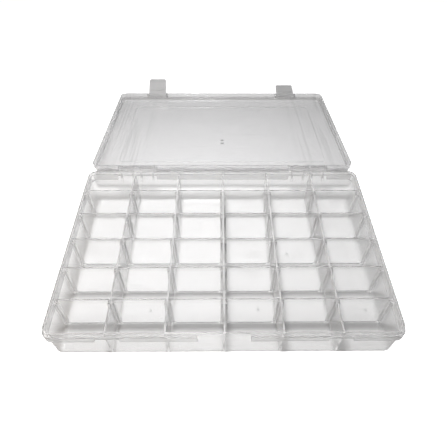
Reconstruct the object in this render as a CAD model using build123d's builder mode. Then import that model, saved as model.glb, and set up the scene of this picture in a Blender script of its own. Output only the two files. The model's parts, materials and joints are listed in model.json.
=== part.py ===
from build123d import *
import os
from math import asin, atan2, cos, degrees, hypot, radians, tan

# Clear compartment storage box, in millimetres, with +Z up and the front towards -Y.
# A moulded tray holds six columns between five fixed partitions, and thirty lift-out
# dividers split the columns into rows. The lid turns on two snap hinges at the rear and
# is held shut by two latches that swing on its front edge. The origin is the centre of
# the tray's bottom face. The lid lies open behind the tray, with its far edge down.

# Overall sizes
box_width = 275.0
box_depth = 184.0
tray_height = 38.0
lid_height = 10.8
latch_openings = {"latch_left": 45.0, "latch_right": 75.0}  # degrees from shut, as they lie

# Tray walls
wall = 1.5
floor = 1.5
wall_draft = 2.8  # degrees from upright, on the outer walls
partition_draft = 0.5
corner_radius = 7.5  # of the collar, and of the tongue at its top, seen from above
base_radius = 5.5  # along the bottom edge, outside; the upright corners narrow almost to it

# Rim: a tongue that the lid fits over, and a collar that the lid rests on
tongue_rise = 4.0
tongue_inset = 1.2
collar_height = 6.4
collar_chamfer = 0.5
flange = 1.6  # what is left of the collar above the cut behind each hinge

# Compartments
columns = 6
rows = 6
partition = 1.3  # thickness at the top
partition_drop = 0.8  # from the top of the tongue to the top of a partition
partition_foot = 2.0  # how far the slanted foot of a partition reaches out, and up
divider_thickness = 1.2
divider_stand = 0.8  # of a divider above the top of the tongue
divider_side_gap = 0.25
slot_clearance = 0.2  # on each face of a divider
rib_thickness = 1.3
rib_depth = 2.0
rib_drop = 2.2
rib_lead = 1.2  # how far the top of a rib slopes down towards its edge

# Front of the tray
latch_spacing = 177.0  # between the middles of the two latches, and of the two hinges
latch_notch_width = 19.0
finger_recess_width = 40.0

# Hinges
rod_radius = 1.5
rod_clearance = 0.08
hinge_offset = 5.5  # from the rear face of the collar to the axis
hinge_rise = 1.0  # of the axis above the collar
socket_width = 13.3
socket_wall = 1.4
socket_mouth = 2.5
middle_lug = 6.4
lug_thickness = 2.8
lug_gap = 0.3
gusset_thickness = 1.4
gusset_height = 10.5

# Lid
lip_gap = 0.15
lip_clearance = 0.25
tongue_top_gap = 0.4
lid_ledge = 1.3
lid_wall = 1.4
lid_panel = 1.5
lid_draft = 1.5
crown_inset = 1.5
crown_round = 1.6
band_chamfer = 0.6
panel_chamfer = 1.0  # inside, where the walls meet the panel
field_margin = 20.0  # from the inside of the lid's walls to the raised field
field_rise = 0.5
field_corner = 6.0
gate_radius = 1.4  # of the nub that the moulding gate leaves in the middle of the lid
gate_height = 0.3

# Latches
latch_width = 24.0
latch_tip_width = 22.4
latch_length = 23.2  # from the pivot to the tip
latch_thickness = 1.8
latch_gap = 0.35  # from the face of the collar
latch_hub_radius = 1.9
latch_end_gap = 0.25
pin_radius = 1.2
pin_clearance = 0.08
pivot_offset = 0.8  # from the face of the collar forwards
ear_thickness = 2.1
ear_radius = 2.4
catch_height = 2.2
hook_width = 18.0
hook_depth = 1.35
hook_height = 3.0
hook_gap = 0.3
tip_flare = 1.0
tip_flare_length = 5.0
tip_corner = 2.5
grip_count = 4
grip_pitch = 1.9
grip_height = 0.45
grip_width = 17.0

# Places worked out from the sizes above
inner_corner = corner_radius - wall
wall_slope = tan(radians(wall_draft))
partition_slope = tan(radians(partition_draft))
shoulder_z = tray_height - tongue_rise
collar_z = shoulder_z - collar_height
inner_inset = tongue_inset + wall
floor_radius = base_radius - wall
inner_width = box_width - 2 * inner_inset
inner_depth = box_depth - 2 * inner_inset
floor_side = inner_width / 2 - (tray_height - floor) * wall_slope
side_at_top = floor_side + (tray_height - floor) * partition_slope
column_pitch = (2 * side_at_top + partition) / columns
column_width = column_pitch - partition
row_pitch = box_depth / rows
divider_places = [row_pitch * (k + 1) - box_depth / 2 for k in range(rows - 1)]
column_places = [column_pitch * (k - (columns - 1) / 2) for k in range(columns)]
rib_shift = divider_thickness / 2 + slot_clearance + rib_thickness / 2
rib_places = [y + side * rib_shift for y in divider_places for side in (-1, 1)]
partition_top = tray_height - partition_drop
foot_top = floor + partition_foot
rib_top = tray_height - rib_drop
divider_top = tray_height + divider_stand
front_y = -box_depth / 2
rear_y = box_depth / 2
latch_places = [-latch_spacing / 2, latch_spacing / 2]
wall_reach = 2 * inner_inset  # past the inner face of a wall, at any height

hinge_y = rear_y + hinge_offset
hinge_z = shoulder_z + hinge_rise
hinge_axis = Axis((0, hinge_y, hinge_z), (1, 0, 0))
bore_radius = rod_radius + rod_clearance
socket_radius = bore_radius + socket_wall
socket_shift = middle_lug / 2 + lug_gap + socket_width / 2
outer_lug_shift = socket_shift + socket_width / 2 + lug_gap + lug_thickness / 2
hinge_zone = 2 * (outer_lug_shift + lug_thickness / 2 + lug_gap)

lip_z = shoulder_z + lip_gap
lip = tongue_inset - lip_clearance
ledge_z = tray_height + tongue_top_gap
band_top = ledge_z + lid_ledge
lid_top = lip_z + lid_height
hollow_inset = crown_inset + lid_wall
field_inset = hollow_inset + field_margin

pivot_y = front_y - pivot_offset
pivot_z = band_top - ear_radius
pivot_axis = Axis((0, pivot_y, pivot_z), (1, 0, 0))
notch_half = latch_width / 2 + latch_end_gap
ear_shift = notch_half + ear_thickness / 2
pin_reach = notch_half + ear_thickness
plate_inner_y = front_y - latch_gap
plate_outer_y = plate_inner_y - latch_thickness
catch_z = shoulder_z - catch_height
hook_top = catch_z - hook_gap
tip_z = pivot_z - latch_length

# The lid opens past flat, until the rounded far edge of its crown lies on the table.
crown_lean = (lid_top - band_top) * tan(radians(lid_draft))
edge_y = front_y + crown_inset + crown_lean + crown_round - hinge_y
edge_z = lid_top - crown_round - hinge_z
past_flat = asin((hinge_z - crown_round) / hypot(edge_y, edge_z)) - atan2(edge_z, -edge_y)
lid_opening = 180 + degrees(past_flat)


def half_column(z):
    """Half the width between two partitions at a height, narrower towards the floor."""
    return column_width / 2 - (tray_height - z) * partition_slope


def half_partition(z):
    """Half the thickness of a partition at a height."""
    return column_pitch / 2 - half_column(z)


# The space inside the tray: one hollow down to the floor, less the partitions with their
# slanted feet, and less the ribs of the divider slots on every partition and side wall.
with BuildPart() as cavity:
    with BuildSketch(Plane.XY.offset(tray_height)):
        RectangleRounded(inner_width, inner_depth, inner_corner)
    extrude(amount=floor - tray_height, taper=wall_draft)
    fillet(cavity.faces().sort_by(Axis.Z)[0].edges(), floor_radius)
    with BuildSketch(Plane.XZ):
        with GridLocations(column_pitch, 0, columns - 1, 1):
            Polygon(
                (half_partition(partition_top), partition_top),
                (-half_partition(partition_top), partition_top),
                (-half_partition(foot_top), foot_top),
                (-half_partition(floor) - partition_foot, floor),
                (half_partition(floor) + partition_foot, floor),
                (half_partition(foot_top), foot_top),
                align=None,
            )
    extrude(amount=box_depth, both=True, mode=Mode.SUBTRACT)
    with BuildSketch(*[Plane.XZ.offset(-y) for y in rib_places]):
        with GridLocations(column_pitch, 0, columns + 1, 1):
            Polygon(
                (0, rib_top),
                (-half_partition(rib_top - rib_lead) - rib_depth, rib_top - rib_lead),
                (-half_partition(0) - rib_depth, 0),
                (half_partition(0) + rib_depth, 0),
                (half_partition(rib_top - rib_lead) + rib_depth, rib_top - rib_lead),
                align=None,
            )
    extrude(amount=rib_thickness / 2, both=True, mode=Mode.SUBTRACT)

# The collar round the tray, with its cuts for the fingers, the latches and the hinges.
with BuildPart() as collar:
    with BuildSketch(Plane.XY.offset(collar_z)):
        RectangleRounded(box_width, box_depth, corner_radius)
    extrude(amount=collar_height)
    chamfer(collar.faces().filter_by(Axis.Z).edges(), collar_chamfer)
    with Locations((0, front_y, shoulder_z)):
        Box(finger_recess_width, 2 * wall_reach, 4 * collar_height, mode=Mode.SUBTRACT)
    with Locations(*[(x, front_y, catch_z) for x in latch_places]):
        Box(
            latch_notch_width,
            2 * wall_reach,
            2 * collar_height,
            align=(Align.CENTER, Align.CENTER, Align.MAX),
            mode=Mode.SUBTRACT,
        )
    with Locations(*[(x, rear_y, shoulder_z - flange) for x in latch_places]):
        Box(
            hinge_zone,
            2 * wall_reach,
            2 * collar_height,
            align=(Align.CENTER, Align.CENTER, Align.MAX),
            mode=Mode.SUBTRACT,
        )

# One hinge socket: a bracket off the rear wall that ends in an open-topped snap ring,
# with a gusset under each end.
with BuildPart() as socket:
    with BuildSketch(Plane.YZ):
        with Locations((rear_y - wall_reach, shoulder_z)):
            Rectangle(wall_reach + hinge_offset, flange, align=(Align.MIN, Align.MAX))
        with Locations((hinge_y, hinge_z)):
            Circle(socket_radius)
            Circle(bore_radius, mode=Mode.SUBTRACT)
            Rectangle(
                socket_mouth,
                2 * socket_radius,
                align=(Align.CENTER, Align.MIN),
                mode=Mode.SUBTRACT,
            )
    extrude(amount=socket_width / 2, both=True)
    gusset_shift = (socket_width - gusset_thickness) / 2
    with BuildSketch(Plane.YZ.offset(-gusset_shift), Plane.YZ.offset(gusset_shift)):
        Polygon(
            (rear_y - wall_reach, shoulder_z - flange / 2),
            (rear_y - wall_reach, shoulder_z - flange - gusset_height),
            (rear_y - inner_inset, shoulder_z - flange - gusset_height),
            (hinge_y, hinge_z - bore_radius - socket_wall / 2),
            (hinge_y - bore_radius, shoulder_z - flange / 2),
            align=None,
        )
    extrude(amount=gusset_thickness / 2, both=True)

with BuildPart() as tray:
    with BuildSketch(Plane.XY.offset(tray_height)):
        RectangleRounded(
            box_width - 2 * tongue_inset, box_depth - 2 * tongue_inset, corner_radius
        )
    extrude(amount=-tray_height, taper=wall_draft)
    fillet(tray.faces().sort_by(Axis.Z)[0].edges(), base_radius)
    add(collar.part)
    with Locations(*[(x + side * socket_shift, 0, 0) for x in latch_places for side in (-1, 1)]):
        add(socket.part)
    add(cavity.part, mode=Mode.SUBTRACT)
tray.part.label = "tray"

# The lugs of one hinge of the lid, with their rod, cleared where the sockets stand.
with BuildPart() as hinge_lugs:
    lug_root = rear_y - lip / 2
    with BuildSketch(Plane.YZ):
        with Locations((hinge_y, hinge_z)):
            Circle(socket_radius)
        Polygon(
            (lug_root, lip_z),
            (rear_y, lip_z),
            (hinge_y - socket_radius / 2, hinge_z - socket_radius * cos(radians(30))),
            (hinge_y + socket_radius / 2, hinge_z + socket_radius * cos(radians(30))),
            (rear_y, band_top - band_chamfer),
            (lug_root, band_top - band_chamfer),
            align=None,
        )
    extrude(amount=outer_lug_shift + lug_thickness / 2, both=True)
    with Locations((-socket_shift, hinge_y, hinge_z), (socket_shift, hinge_y, hinge_z)):
        Box(socket_width + 2 * lug_gap, 4 * hinge_offset, 4 * hinge_offset, mode=Mode.SUBTRACT)
    with BuildSketch(Plane.YZ):
        with Locations((hinge_y, hinge_z)):
            Circle(rod_radius)
    extrude(amount=outer_lug_shift, both=True)

# The inside of the lid: a pocket that fits over the tongue, and above it the hollow
# under the panel.
with BuildPart() as lid_hollow:
    with BuildSketch(Plane.XY.offset(lip_z)):
        RectangleRounded(box_width - 2 * lip, box_depth - 2 * lip, corner_radius - lip)
    extrude(amount=ledge_z - lip_z)
    with BuildSketch(Plane.XY.offset(ledge_z)):
        RectangleRounded(
            box_width - 2 * hollow_inset, box_depth - 2 * hollow_inset, corner_radius - hollow_inset
        )
    extrude(amount=lid_top - lid_panel - ledge_z, taper=lid_draft)
    chamfer(lid_hollow.faces().sort_by(Axis.Z)[-1].edges(), panel_chamfer)

# The lid, modelled shut: a rim band that rests on the collar, a crown with its panel,
# ears for the latches in front, and lugs with the hinge rods behind.
with BuildPart() as shut_lid:
    with BuildSketch(Plane.XY.offset(lip_z)):
        RectangleRounded(box_width, box_depth, corner_radius)
    extrude(amount=band_top - lip_z)
    chamfer(shut_lid.faces().sort_by(Axis.Z)[-1].edges(), band_chamfer)
    with BuildSketch(Plane.XY.offset(band_top)):
        RectangleRounded(
            box_width - 2 * crown_inset, box_depth - 2 * crown_inset, corner_radius - crown_inset
        )
    extrude(amount=lid_top - band_top, taper=lid_draft)
    fillet(shut_lid.faces().sort_by(Axis.Z)[-1].edges(), crown_round)
    with Locations(*[(x, front_y + crown_inset, lip_z) for x in latch_places]):
        Box(
            2 * notch_half,
            4 * crown_inset,
            band_top - lip_z,
            align=(Align.CENTER, Align.MAX, Align.MIN),
            mode=Mode.SUBTRACT,
        )
    ear_places = [x + side * ear_shift for x in latch_places for side in (-1, 1)]
    with BuildSketch(*[Plane.YZ.offset(x) for x in ear_places]):
        with Locations((pivot_y, pivot_z)):
            Circle(ear_radius)
            Rectangle(pivot_offset + crown_inset, 2 * ear_radius, align=(Align.MIN, Align.CENTER))
    extrude(amount=ear_thickness / 2, both=True)
    with BuildSketch(*[Plane.YZ.offset(x) for x in latch_places]):
        with Locations((pivot_y, pivot_z)):
            Circle(pin_radius + pin_clearance)
    extrude(amount=pin_reach, both=True, mode=Mode.SUBTRACT)
    with Locations(*[(x, 0, 0) for x in latch_places]):
        add(hinge_lugs.part)
    add(lid_hollow.part, mode=Mode.SUBTRACT)
    with BuildSketch(Plane.XY.offset(lid_top)):
        RectangleRounded(box_width - 2 * field_inset, box_depth - 2 * field_inset, field_corner)
    extrude(amount=field_rise)
    with BuildSketch(Plane.XY.offset(lid_top - lid_panel)):
        RectangleRounded(box_width - 2 * field_inset, box_depth - 2 * field_inset, field_corner)
    extrude(amount=field_rise, mode=Mode.SUBTRACT)
    with BuildSketch(Plane.XY.offset(lid_top + field_rise)):
        Circle(gate_radius)
    extrude(amount=gate_height)

with BuildPart() as lid:
    add(shut_lid.part.rotate(hinge_axis, -lid_opening))
lid.part.label = "lid"

# One latch, modelled shut at the middle of the box: a barrel with two pins, a tapered
# plate with a flared tip and grip ridges, and a hook that catches under the collar.
with BuildPart() as shut_latch:
    with BuildSketch(Plane.YZ):
        Polygon(
            (plate_inner_y, pivot_z),
            (plate_inner_y, tip_z + tip_flare_length),
            (plate_inner_y - tip_flare, tip_z),
            (plate_outer_y - tip_flare, tip_z),
            (plate_outer_y, tip_z + tip_flare_length),
            (plate_outer_y, pivot_z),
            align=None,
        )
        with Locations((pivot_y, pivot_z)):
            Circle(latch_hub_radius)
    extrude(amount=latch_width / 2, both=True)
    with BuildSketch(Plane.XZ.offset(-pivot_y)) as latch_outline:
        Polygon(
            (-latch_width / 2, pivot_z + latch_hub_radius),
            (-latch_width / 2, pivot_z - latch_hub_radius),
            (-latch_tip_width / 2, tip_z),
            (latch_tip_width / 2, tip_z),
            (latch_width / 2, pivot_z - latch_hub_radius),
            (latch_width / 2, pivot_z + latch_hub_radius),
            align=None,
        )
        fillet(latch_outline.vertices().group_by(Axis.Y)[0], tip_corner)
    extrude(amount=4 * latch_hub_radius, both=True, mode=Mode.INTERSECT)
    first_grip = tip_z + tip_flare_length + grip_pitch / 2
    with BuildSketch(Plane.YZ):
        with Locations(*[(plate_outer_y, first_grip + grip_pitch * k) for k in range(grip_count)]):
            RegularPolygon(grip_height, 4)
    extrude(amount=grip_width / 2, both=True)
    with BuildSketch(Plane.YZ):
        with Locations((pivot_y, pivot_z)):
            Circle(pin_radius)
    extrude(amount=pin_reach, both=True)
    with BuildSketch(Plane.YZ):
        Polygon(
            (plate_inner_y, hook_top),
            (plate_inner_y + hook_depth, hook_top),
            (plate_inner_y + hook_depth, hook_top - hook_height / 3),
            (plate_inner_y, hook_top - hook_height),
            align=None,
        )
    extrude(amount=hook_width / 2, both=True)

# One divider: a plate with the same taper as the columns, and with its lower corners cut
# off so that it clears the rounding of the floor.
with BuildPart() as blank_divider:
    with BuildSketch(Plane.XZ) as divider_outline:
        top_half = half_column(divider_top) - divider_side_gap
        foot_half = half_column(floor) - divider_side_gap
        Polygon(
            (-top_half, divider_top),
            (-foot_half, floor),
            (foot_half, floor),
            (top_half, divider_top),
            align=None,
        )
        lower_corners = divider_outline.vertices().group_by(Axis.Y)[0]
        chamfer(lower_corners, floor_radius)
    extrude(amount=divider_thickness / 2, both=True)

os.makedirs("parts", exist_ok=True)
export_step(tray.part, "parts/tray.step")
export_step(lid.part, "parts/lid.step")

for (name, opening), x in zip(latch_openings.items(), latch_places):
    with BuildPart() as latch:
        swung = shut_latch.part.rotate(pivot_axis, -opening).translate((x, 0, 0))
        add(swung.rotate(hinge_axis, -lid_opening))
    latch.part.label = name
    export_step(latch.part, f"parts/{name}.step")

for row, y in enumerate(divider_places, start=1):
    for column, x in enumerate(column_places, start=1):
        with BuildPart() as divider:
            with Locations((x, y, 0)):
                add(blank_divider.part)
        divider.part.label = f"divider_row{row}_column{column}"
        export_step(divider.part, f"parts/{divider.part.label}.step")

print(f"The lid opens by {lid_opening:.5f} degrees about y {hinge_y:.4f}, z {hinge_z:.4f}")
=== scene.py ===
import json
from collections import namedtuple
from math import cos, radians, sin

import bmesh
import bpy
from mathutils import Matrix, Vector

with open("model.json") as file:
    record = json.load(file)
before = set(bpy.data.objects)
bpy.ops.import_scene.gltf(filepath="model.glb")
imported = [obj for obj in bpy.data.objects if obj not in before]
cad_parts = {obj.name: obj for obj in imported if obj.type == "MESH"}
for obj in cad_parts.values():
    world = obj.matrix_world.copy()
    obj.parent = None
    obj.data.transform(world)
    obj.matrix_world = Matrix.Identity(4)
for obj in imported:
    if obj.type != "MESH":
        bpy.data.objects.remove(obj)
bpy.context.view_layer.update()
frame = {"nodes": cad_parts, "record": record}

# Camera of the photograph: angles in degrees, place in metres, lens and sensor in millimetres.
CAMERA_PITCH = 48.19
CAMERA_YAW = 0.99
CAMERA_ROLL = 0.62
CAMERA_PLACE = (-0.00426, -0.2368, 0.32365)
CAMERA_LENS = 33.81
SENSOR_WIDTH = 36.0
NEAREST_SEEN = 0.01


def aim_camera():
    """Makes the camera, a pitch below level, a yaw to the right and a small roll."""
    pitch, yaw, roll = (radians(a) for a in (CAMERA_PITCH, CAMERA_YAW, CAMERA_ROLL))
    forward = Vector((sin(yaw) * cos(pitch), cos(yaw) * cos(pitch), -sin(pitch)))
    level = Vector((cos(yaw), -sin(yaw), 0))
    upright = level.cross(forward)
    right = cos(roll) * level + sin(roll) * upright
    up = cos(roll) * upright - sin(roll) * level
    data = bpy.data.cameras.new("camera")
    data.lens = CAMERA_LENS
    data.sensor_width = SENSOR_WIDTH
    data.clip_start = NEAREST_SEEN
    camera = bpy.data.objects.new("camera", data)
    turn = Matrix((right, up, -forward)).transposed().to_4x4()
    camera.matrix_world = Matrix.Translation(Vector(CAMERA_PLACE)) @ turn
    bpy.context.collection.objects.link(camera)
    bpy.context.scene.camera = camera


class Value:
    """A shader socket that takes Python's arithmetic."""

    def __init__(self, graph, socket):
        self.graph = graph
        self.socket = socket

    def _math(self, operation, *inputs):
        return self.graph.node("ShaderNodeMath", {"operation": operation}, dict(enumerate(inputs)))[0]

    def __add__(self, other):
        return self._math("ADD", self, other)

    __radd__ = __add__

    def __sub__(self, other):
        return self._math("SUBTRACT", self, other)

    def __rsub__(self, other):
        return self._math("SUBTRACT", other, self)

    def __mul__(self, other):
        return self._math("MULTIPLY", self, other)

    __rmul__ = __mul__

    def size(self):
        return self._math("ABSOLUTE", self)

    def most(self, other):
        return self._math("MAXIMUM", self, other)

    def over(self, edge, width):
        """0 below edge, 1 above edge + width, smooth between them."""
        ramp = self.graph.node(
            "ShaderNodeMapRange", {"interpolation_type": "SMOOTHSTEP"},
            {"Value": self, "From Min": edge, "From Max": edge + width},
        )
        return ramp["Result"]


class Outputs:
    """The outputs of a node, by name or by number."""

    def __init__(self, graph, node):
        self.graph = graph
        self.node = node

    def __getitem__(self, key):
        return Value(self.graph, self.node.outputs[key])


class Graph:
    """The nodes of one material or of the world."""

    def __init__(self, tree):
        self.tree = tree
        self.tree.nodes.clear()

    def node(self, kind, settings=None, inputs=None):
        made = self.tree.nodes.new(kind)
        for key, value in (settings or {}).items():
            if key == "stops":
                ramp = made.color_ramp
                while len(ramp.elements) < len(value):
                    ramp.elements.new(0.5)
                for element, (place, colour) in zip(ramp.elements, value):
                    element.position = place
                    element.color = colour
            else:
                setattr(made, key, value)
        for key, value in (inputs or {}).items():
            socket = made.inputs[key]
            if isinstance(value, Value):
                self.tree.links.new(value.socket, socket)
            else:
                socket.default_value = value
        return Outputs(self, made)

    def noise(self, place, scale, detail):
        return self.node("ShaderNodeTexNoise", None, {"Vector": place, "Scale": scale, "Detail": detail})[0]

    def turned(self, place, turn, scale):
        """A place turned about the vertical and scaled, for patterns that run one way."""
        return self.node("ShaderNodeMapping", None, {"Vector": place, "Rotation": (0, 0, turn), "Scale": scale})[0]

    def slant(self):
        """0 where the surface faces the ray, 1 where the ray grazes it."""
        return self.node("ShaderNodeLayerWeight", None, {"Blend": 0.5})["Facing"]

    def blend(self, share, first, second, way="MIX"):
        """A mix of two colours, the second by share."""
        inputs = {0: share, 6: first, 7: second}
        return self.node("ShaderNodeMix", {"data_type": "RGBA", "blend_type": way}, inputs)[2]

    def shader(self, share, first, second):
        """A mix of two shaders, the second by share."""
        return self.node("ShaderNodeMixShader", None, {0: share, 1: first, 2: second})["Shader"]


def grey(level):
    return (level, level, level, 1.0)


# Colours of the plastics: tint is seen through, film is what a straight ray keeps at each face.
CLEAR_TINT = (0.965, 0.965, 0.963, 1.0)
CLEAR_FILM = grey(0.98)
LID_TINT = (0.97, 0.97, 0.975, 1.0)
LID_FILM = grey(0.925)
LATCH_TINT = grey(0.69)
LATCH_FILM = grey(0.8)
MILK = grey(0.8)
SHADE = grey(0.2)

# Ripples and clouds in the plastic, per metre.
FLOW_SCALE, FLOW_DETAIL = 14.0, 1.0
CLOUD_SCALE, CLOUD_DETAIL = 11.0, 5.0
RELIEF_STRENGTH = 0.02
RELIEF_DEPTH = 0.0006
SCRATCH_RELIEF = 0.05
DENT_RELIEF = 0.2

# Fine scratches in two directions.
SCRATCH_TURNS = (0.35, 1.9)
SCRATCH_SCALE = (25.0, 1200.0, 25.0)
SCRATCH_DETAIL = 1.0
SCRATCH_EDGE, SCRATCH_FADE = 0.66, 0.08

# Soft streaks from front to back, past a distance from the middle.
STREAK_TURN = 0.12
STREAK_SCALE = (260.0, 6.0, 6.0)
STREAK_DETAIL = 2.0
STREAK_EDGE, STREAK_FADE = 0.5, 0.12
STREAK_PAST, STREAK_PAST_FADE = 0.08, 0.02

# Roughness that clouds, scratches and rubbing add.
CLOUD_ROUGHNESS = 0.05
SCRATCH_ROUGHNESS = 0.1
RUBBED_ROUGHNESS = 0.1
MILK_ROUGHNESS = 0.4
REFRACTION = 1.49

# Shares of painted shade and of milk in the plastic.
DENT_PAINTED_SHADE = 0.7
# Painted shade on the rims, which are also rubbed (rougher and hazier).
RIM_PAINTED_SHADE = 0.08
CLOUD_BASE = 0.5
FACING_HAZE, SLANT_HAZE = 0.6, 1.1
SCRATCH_MILK = 0.03
RUBBED_MILK = 0.05
PANE_MILK, PANE_EDGE_MILK = 0.03, 0.5
PANE_EDGE, PANE_EDGE_FADE = 0.3, 0.5

# Widths over which zones, rims and dents fade out, and the height of the faces that rest on the table.
ZONE_FADE = 0.0004
RIM_FADE = 0.0006
DENT_FADE = 0.0006
RESTING = 0.0001

# The number of surfaces past which a ray that lights something goes straight on.
DEEPEST = 4.0


def let_lamps_through(g, plastic, milk, film):
    """Gives the rays that light what lies behind the plastic a straight way through it."""
    clear = g.node("ShaderNodeBsdfTransparent", None, {"Color": film})["BSDF"]
    pane = g.shader(PANE_MILK + PANE_EDGE_MILK * g.slant().over(PANE_EDGE, PANE_EDGE_FADE), clear, milk)
    path = g.node("ShaderNodeLightPath")
    deep = path["Ray Depth"].over(DEEPEST, 1.0)
    lighting = g.shader(path["Is Diffuse Ray"], g.shader(deep, plastic, pane), pane)
    return g.shader(path["Is Shadow Ray"], lighting, pane)


# A zone of a moulding with more haze and with painted shade: its shares of milk and of painted shade, its lower and
# upper height, and the half sizes of the box outside which it lies.
HazeAndPaintedShade = namedtuple("HazeAndPaintedShade", "milk shade low high inside")


def haze_and_shade_zone(g, place, height, haze_and_shade):
    """1 in the zone, elsewhere 0."""
    spot = g.node("ShaderNodeSeparateXYZ", None, {"Vector": place})
    past = spot["X"].size() - haze_and_shade.inside[0]
    outside = past.most(spot["Y"].size() - haze_and_shade.inside[1]).over(0.0, ZONE_FADE)
    return outside * height.over(haze_and_shade.low, ZONE_FADE) * (1.0 - height.over(haze_and_shade.high, ZONE_FADE))


def side_streaks(g, place):
    """Long soft streaks from front to back, near the left and right sides, that darken the colour."""
    streaks = g.noise(g.turned(place, STREAK_TURN, STREAK_SCALE), 1.0, STREAK_DETAIL)
    sides = g.node("ShaderNodeSeparateXYZ", None, {"Vector": place})["X"].size()
    return streaks.over(STREAK_EDGE, STREAK_FADE) * sides.over(STREAK_PAST, STREAK_PAST_FADE)


def fine_scratches(g, place):
    scratches = 0.0
    for turn in SCRATCH_TURNS:
        lines = g.noise(g.turned(place, turn, SCRATCH_SCALE), 1.0, SCRATCH_DETAIL)
        scratches = lines.over(SCRATCH_EDGE, SCRATCH_FADE) + scratches
    return scratches


def pin_dents(g, place, marks, radius):
    """The small round dents that the mould's pins leave."""
    dents = 0.0
    for mark in marks:
        away = g.node("ShaderNodeVectorMath", {"operation": "DISTANCE"}, {0: place, 1: mark})["Value"]
        dents = (1.0 - away.over(radius, DENT_FADE)) + dents
    return dents


def moulded_plastic(name, tint, film, haze, roughness, up, rim, haze_and_shade=None, marks=(), mark_radius=0.0, streaked=0.0):
    """Moulded plastic: hazy in clouds, rubbed on its rims, with flow ripples and fine scratches, and with painted
    shade on its rims, in its dents and in one zone.

    The rims lie past the distance rim along the direction up. Marks are the places of dents.
    streaked is the streaks' share of shade.
    """
    material = bpy.data.materials.new(name)
    material.use_nodes = True
    g = Graph(material.node_tree)
    place = g.node("ShaderNodeTexCoord")["Object"]
    flow = g.noise(place, FLOW_SCALE, FLOW_DETAIL)
    cloud = g.noise(place, CLOUD_SCALE, CLOUD_DETAIL)
    scratches = fine_scratches(g, place)
    # The dents get relief and also painted shade in the colour.
    dents = pin_dents(g, place, marks, mark_radius)
    height = g.node("ShaderNodeVectorMath", {"operation": "DOT_PRODUCT"}, {0: place, 1: up})["Value"]
    rubbed_and_shaded_rims = height.over(rim, RIM_FADE)
    rough = roughness + CLOUD_ROUGHNESS * cloud + SCRATCH_ROUGHNESS * scratches + RUBBED_ROUGHNESS * rubbed_and_shaded_rims
    # Painted shade: dark pin dents and slightly darker rims.
    shaded = DENT_PAINTED_SHADE * dents + RIM_PAINTED_SHADE * rubbed_and_shaded_rims
    share = haze * (CLOUD_BASE + cloud) * (FACING_HAZE + SLANT_HAZE * g.slant())
    share = share + SCRATCH_MILK * scratches + RUBBED_MILK * rubbed_and_shaded_rims
    # Painted shade and more haze in one zone: the tray's collar band, a band on the lid's walls, the dividers'
    # feet.
    if haze_and_shade:
        haze_and_shade_mask = haze_and_shade_zone(g, place, height, haze_and_shade)
        shaded = shaded + haze_and_shade.shade * haze_and_shade_mask
        share = share + haze_and_shade.milk * haze_and_shade_mask
    if streaked:
        shaded = shaded + streaked * side_streaks(g, place)
    relief = flow - SCRATCH_RELIEF * scratches - DENT_RELIEF * dents
    bump = g.node(
        "ShaderNodeBump", None, {"Strength": RELIEF_STRENGTH, "Distance": RELIEF_DEPTH, "Height": relief},
    )["Normal"]
    glass = g.node(
        "ShaderNodeBsdfPrincipled", None,
        {
            "Base Color": g.blend(shaded, tint, SHADE), "Roughness": rough, "IOR": REFRACTION,
            "Transmission Weight": 1.0, "Normal": bump,
        },
    )["BSDF"]
    milk = g.node(
        "ShaderNodeBsdfPrincipled", None,
        {"Base Color": MILK, "Roughness": MILK_ROUGHNESS, "Specular IOR Level": 0.0, "Normal": bump},
    )["BSDF"]
    resting = g.node("ShaderNodeBsdfTransparent", None, {"Color": film})["BSDF"]
    plastic = g.shader(height.over(RESTING, RESTING), resting, g.shader(share, glass, milk))
    g.node("ShaderNodeOutputMaterial", None, {"Surface": let_lamps_through(g, plastic, milk, film)})
    return material


UPWARD = (0.0, 0.0, 1.0)
# The open lid lies tilted, with its far edge on the table.
LID_TILT = radians(7.75)
LID_UPWARD = (0.0, sin(LID_TILT), cos(LID_TILT))
TRAY_MARKS = [
    (-0.0635, -0.0495, 0.0015), (0.03, -0.0485, 0.0015), (0.1235, -0.0495, 0.0015), (0.0615, 0.012, 0.0015),
]
LID_MARKS = [(0.0, 0.165, 0.01728), (0.0, 0.172, 0.01633)]
TRAY_MARK_RADIUS = 0.0012
LID_MARK_RADIUS = 0.002

MATERIALS = {
    "clear_plastic": moulded_plastic(
        "tray_clear", CLEAR_TINT, CLEAR_FILM, haze=0.1, roughness=0.07, up=UPWARD, rim=0.0368,
        # the collar band: haze plus painted shade
        haze_and_shade=HazeAndPaintedShade(milk=0.3, shade=0.2, low=0.0274, high=0.0338, inside=(0.1362, 0.0905)),
        marks=TRAY_MARKS, mark_radius=TRAY_MARK_RADIUS,
    ),
    "clear_lid": moulded_plastic(
        "lid_clear", LID_TINT, LID_FILM, haze=0.1, roughness=0.07, up=LID_UPWARD, rim=0.0482,
        # a band on the lid's walls: painted shadow of the wall, plus some haze
        haze_and_shade=HazeAndPaintedShade(milk=0.1, shade=0.45, low=0.0402, high=0.0434, inside=(0.0, 0.0)),
        marks=LID_MARKS, mark_radius=LID_MARK_RADIUS, streaked=0.13,
    ),
    "divider_plastic": moulded_plastic(
        "divider_clear", CLEAR_TINT, CLEAR_FILM, haze=0.1, roughness=0.1, up=UPWARD, rim=0.0381,
        # the dividers' feet: painted shade along the foot, plus some haze
        haze_and_shade=HazeAndPaintedShade(milk=0.1, shade=0.5, low=0.0, high=0.0024, inside=(0.0, 0.0)),
    ),
    "latch_plastic": moulded_plastic(
        "latch_milky", LATCH_TINT, LATCH_FILM, haze=0.3, roughness=0.35, up=UPWARD, rim=0.06,
    ),
}


def finish_nodes():
    slots = {part["node"]: part["material_slot"] for part in frame["record"]["subparts"]}
    for name, thing in frame["nodes"].items():
        thing.data.materials.clear()
        thing.data.materials.append(MATERIALS[slots[name]])


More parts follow.
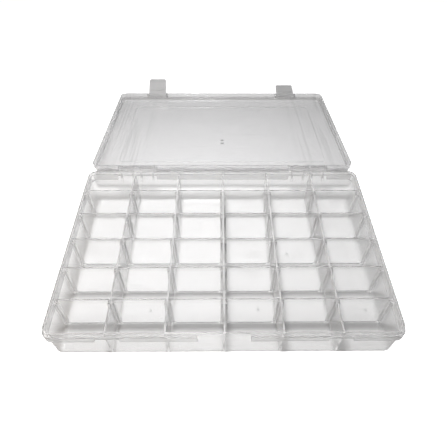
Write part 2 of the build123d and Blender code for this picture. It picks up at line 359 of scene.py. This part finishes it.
# White paper under the box: how much it glows for each kind of ray, and how far below the box it lies.
PAPER_WHITE = 0.9
PAPER_GLOW = {"Is Glossy Ray": 0.1, "Is Transmission Ray": 0.03, "Is Camera Ray": 0.8}
PAPER_DROP = 0.0002
PAPER_HALF_WIDTH = 6.0


def make_floor():
    mesh = bpy.data.meshes.new("floor")
    made = bmesh.new()
    bmesh.ops.create_grid(made, x_segments=1, y_segments=1, size=PAPER_HALF_WIDTH)
    bmesh.ops.translate(made, verts=made.verts, vec=(0, 0, -PAPER_DROP))
    made.to_mesh(mesh)
    made.free()
    floor = bpy.data.objects.new("floor", mesh)
    bpy.context.collection.objects.link(floor)
    material = bpy.data.materials.new("floor_paper")
    material.use_nodes = True
    g = Graph(material.node_tree)
    paper = g.node("ShaderNodeBsdfDiffuse", None, {"Color": grey(PAPER_WHITE)})["BSDF"]
    path = g.node("ShaderNodeLightPath")
    shown = paper
    for ray, level in PAPER_GLOW.items():
        glow = g.node("ShaderNodeEmission", None, {"Color": grey(level)})["Emission"]
        shown = g.shader(path[ray], shown, g.node("ShaderNodeAddShader", None, {0: paper, 1: glow})["Shader"])
    g.node("ShaderNodeOutputMaterial", None, {"Surface": shown})
    mesh.materials.append(material)


# The room's light: its level from the horizon up, and its colour, warm from the left and cool from the right.
SKY = [(0.0, grey(0.17)), (0.3, grey(0.18)), (0.8, grey(0.22))]
SIDE = [(0.0, (1.0, 0.93, 0.87, 1.0)), (0.25, (1.0, 0.97, 0.93, 1.0)), (0.7, (0.85, 0.87, 0.9, 1.0))]
SIDE_MIDDLE, SIDE_BY_X, SIDE_BY_Y = 0.5, 0.5, 0.25
# Square lamps: place and aim in metres, size in metres, power in watts, colour.
LAMPS = {
    "overhead": ((-0.04, 0.022, 0.43), (-0.04, 0.022, 0.0), 0.075, 2.0, (1.0, 0.995, 1.0)),
    "warm_side": ((-0.45, -0.25, 0.2), (-0.1, -0.08, 0.02), 0.3, 0.28, (1.0, 0.82, 0.66)),
}


def make_light():
    world = bpy.data.worlds.new("studio")
    bpy.context.scene.world = world
    world.use_nodes = True
    g = Graph(world.node_tree)
    direction = g.node("ShaderNodeSeparateXYZ", None, {"Vector": g.node("ShaderNodeTexCoord")["Generated"]})
    sky = g.node("ShaderNodeValToRGB", {"stops": SKY}, {"Fac": direction["Z"]})
    side = SIDE_MIDDLE + SIDE_BY_X * direction["X"] + SIDE_BY_Y * direction["Y"]
    wall = g.node("ShaderNodeValToRGB", {"stops": SIDE}, {"Fac": side})
    room = g.blend(1.0, sky["Color"], wall["Color"], "MULTIPLY")
    light = g.node("ShaderNodeBackground", None, {"Color": room, "Strength": 1.0})["Background"]
    white = g.node("ShaderNodeBackground", None, {"Color": grey(1.0), "Strength": 1.0})["Background"]
    seen = g.node("ShaderNodeLightPath")["Is Camera Ray"]
    g.node("ShaderNodeOutputWorld", None, {"Surface": g.shader(seen, light, white)})
    for name, (place, aim, size, power, colour) in LAMPS.items():
        data = bpy.data.lights.new(name, "AREA")
        data.color = colour
        data.energy = power
        data.size = size
        lamp = bpy.data.objects.new(name, data)
        lamp.location = place
        lamp.rotation_euler = (Vector(aim) - Vector(place)).to_track_quat("-Z", "Y").to_euler()
        bpy.context.collection.objects.link(lamp)


aim_camera()
finish_nodes()
make_floor()
make_light()

bpy.context.scene.view_settings.view_transform = "Standard"
